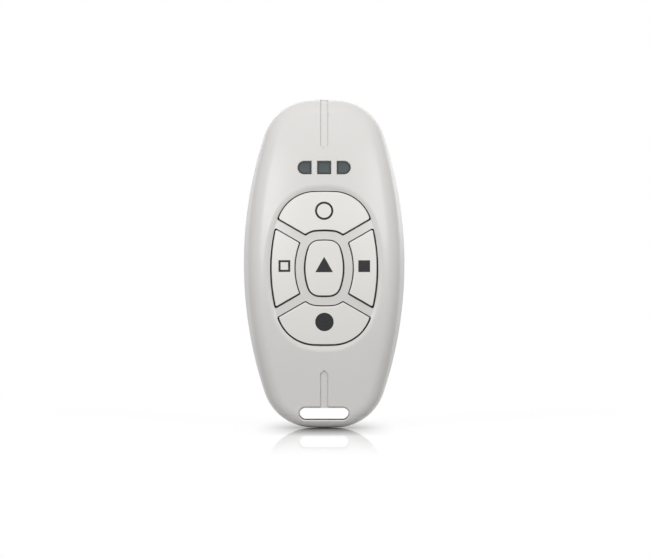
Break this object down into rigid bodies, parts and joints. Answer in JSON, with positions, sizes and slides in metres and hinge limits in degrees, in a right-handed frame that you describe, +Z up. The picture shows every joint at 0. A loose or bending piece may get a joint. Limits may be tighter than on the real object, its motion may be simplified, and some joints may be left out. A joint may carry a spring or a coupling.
{
  "type": "alarm key fob",
  "caption": "Hand-held alarm key fob: crowned barrel-shaped case, sunken keypad with a ring-and-spoke web round its keys, indicator windows and a strap slot at one end.",
  "frame": {"origin": "on the ground under the middle of the fob, which stands on its strap end as pictured", "axes": "+Z up along the fob's length to the end with the indicator windows, -Y out of the keys, +Y out of the flat back, +X to the right seen from the keys"},
  "size_m": [0.0382, 0.016, 0.078],
  "materials": {
    "cover_plastic": "fine satin moulded plastic, pale warm grey",
    "key_plastic": "satin moulded plastic, off-white",
    "smoked_window": "smoked clear plastic, slate grey",
    "board": "green solder mask",
    "cell_steel": "bright steel can",
    "contact_metal": "tinned spring metal",
    "screw_steel": "zinc-plated steel",
    "black_plastic": "black moulded plastic",
    "plunger_plastic": "hard black plastic",
    "lamp_resin": "cast clear resin on a white base"
  },
  "bodies": {
    "housing": {"front_cover": "cover_plastic", "rear_cover": "cover_plastic", "light_guide": "smoked_window", "circuit_board": "board", "coin_cell": "cell_steel", "battery_holder": "black_plastic", "positive_contact": "contact_metal", "negative_contact": "contact_metal", "radio_chip": "black_plastic", "controller_chip": "black_plastic", "crystal": "cell_steel", "antenna": "contact_metal", "housing_screws": "screw_steel", "switch_top": "black_plastic", "switch_left": "black_plastic", "switch_centre": "black_plastic", "switch_right": "black_plastic", "switch_bottom": "black_plastic", "lamp_left": "lamp_resin", "lamp_centre": "lamp_resin", "lamp_right": "lamp_resin"},
    "top_key": {"key_top": "key_plastic", "plunger_top": "plunger_plastic"},
    "left_key": {"key_left": "key_plastic", "plunger_left": "plunger_plastic"},
    "centre_key": {"key_centre": "key_plastic", "plunger_centre": "plunger_plastic"},
    "right_key": {"key_right": "key_plastic", "plunger_right": "plunger_plastic"},
    "bottom_key": {"key_bottom": "key_plastic", "plunger_bottom": "plunger_plastic"}
  },
  "joints": [
    {"name": "top_key_press", "type": "slide", "parent": "housing", "child": "top_key", "axis": [0, 1, 0], "range_m": [0, 0.0003], "stiffness_N_per_m": 6000},
    {"name": "left_key_press", "type": "slide", "parent": "housing", "child": "left_key", "axis": [0, 1, 0], "range_m": [0, 0.0003], "stiffness_N_per_m": 6000},
    {"name": "centre_key_press", "type": "slide", "parent": "housing", "child": "centre_key", "axis": [0, 1, 0], "range_m": [0, 0.0003], "stiffness_N_per_m": 6000},
    {"name": "right_key_press", "type": "slide", "parent": "housing", "child": "right_key", "axis": [0, 1, 0], "range_m": [0, 0.0003], "stiffness_N_per_m": 6000},
    {"name": "bottom_key_press", "type": "slide", "parent": "housing", "child": "bottom_key", "axis": [0, 1, 0], "range_m": [0, 0.0003], "stiffness_N_per_m": 6000}
  ]
}
